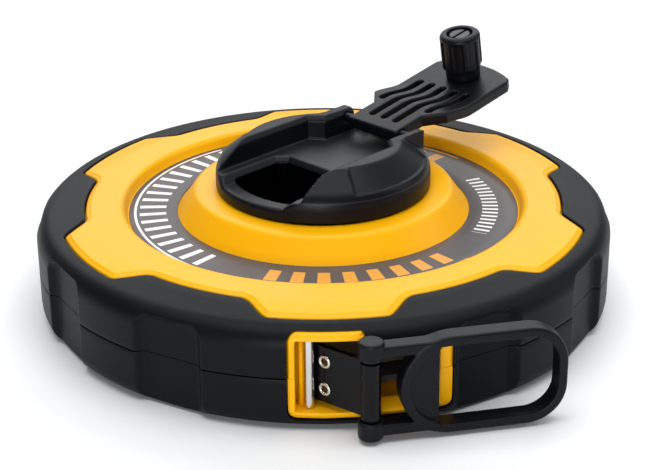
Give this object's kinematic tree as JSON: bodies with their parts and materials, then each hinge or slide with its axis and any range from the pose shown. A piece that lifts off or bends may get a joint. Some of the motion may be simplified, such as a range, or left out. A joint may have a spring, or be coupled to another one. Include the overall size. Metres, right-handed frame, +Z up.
{
  "type": "measuring tape reel",
  "caption": "Closed-case long measuring tape: yellow and black round case, fold-out crank with knob, and a glass-fibre tape whose end comes out of a mouth to a hook ring.",
  "frame": {"origin": "the middle of the case's flat base, on the spool's axis", "axes": "+Z up out of the case's top along the spool's axis; -Y towards the mouth; the hook ring lies towards +X"},
  "size_m": [0.1514, 0.159, 0.0609],
  "materials": {
    "yellow_plastic": "satin injection-moulded ABS, yellow-orange",
    "black_rubber": "soft matt thermoplastic rubber",
    "label_film": "printed warm-grey film, satin",
    "black_plastic": "fine-textured black glass-filled nylon",
    "black_tab": "smooth black coated reinforcement",
    "black_screw": "blackened steel",
    "black_pin": "glossy black steel rod",
    "polished_steel": "bright polished",
    "eyelet_metal": "satin rolled",
    "zinc_screw": "zinc plated",
    "spool_plastic": "plain dark moulding",
    "nylon_washer": "natural nylon",
    "glass_fibre_tape": "PVC-coated glass-fibre tape, satin"
  },
  "bodies": {
    "case": {"upper_shell": "yellow_plastic", "lower_shell": "yellow_plastic", "upper_grip": "black_rubber", "lower_grip": "black_rubber", "label_ring": "label_film", "spool_washer": "nylon_washer", "case_screw_1": "zinc_screw", "case_screw_2": "zinc_screw", "case_screw_3": "zinc_screw", "case_screw_4": "zinc_screw", "case_screw_5": "zinc_screw"},
    "spool": {"spool_drum": "spool_plastic", "spool_upper_flange": "spool_plastic", "tape_coil": "glass_fibre_tape", "crank_hub": "black_plastic", "crank_hinge_pin": "black_pin", "hub_screw_1": "zinc_screw", "hub_screw_2": "zinc_screw", "hub_screw_3": "zinc_screw"},
    "arm": {"crank_arm": "black_plastic", "knob_screw": "black_screw"},
    "knob": {"crank_knob": "black_plastic"},
    "roller_left": {"mouth_roller_left": "polished_steel"},
    "roller_right": {"mouth_roller_right": "polished_steel"},
    "tape_end": {"tape_blade": "glass_fibre_tape", "end_tab": "black_tab", "eyelet_upper": "eyelet_metal", "eyelet_lower": "eyelet_metal"},
    "hook": {"hook_ring": "black_plastic", "hook_pin": "black_pin"}
  },
  "joints": [
    {"name": "spool_spin", "type": "hinge", "parent": "case", "child": "spool", "pos_m": [0, 0, 0.02], "axis": [0, 0, 1], "continuous": true},
    {"name": "crank_fold", "type": "hinge", "parent": "spool", "child": "arm", "pos_m": [0.01484, 0.015, 0.0412], "axis": [0.7108, -0.7034, 0], "range_deg": [0, 170.4]},
    {"name": "knob_spin", "type": "hinge", "parent": "arm", "child": "knob", "pos_m": [0.04002, 0.04044, 0.04725], "axis": [-0.1173, -0.1185, 0.986], "continuous": true},
    {"name": "roller_left_spin", "type": "hinge", "parent": "case", "child": "roller_left", "pos_m": [-0.00363, -0.07255, 0.0137], "axis": [0, 0, 1], "continuous": true},
    {"name": "roller_right_spin", "type": "hinge", "parent": "case", "child": "roller_right", "pos_m": [0.0249, -0.0681, 0.0137], "axis": [0, 0, 1], "continuous": true},
    {"name": "tape_pull", "type": "slide", "parent": "case", "child": "tape_end", "axis": [0.7986, -0.6018, 0], "range_m": [0, 0.03]},
    {"name": "hook_swing", "type": "hinge", "parent": "tape_end", "child": "hook", "pos_m": [0.0105, -0.08028, 0.0133], "axis": [0, 0, 1], "range_deg": [-185, 6]}
  ]
}
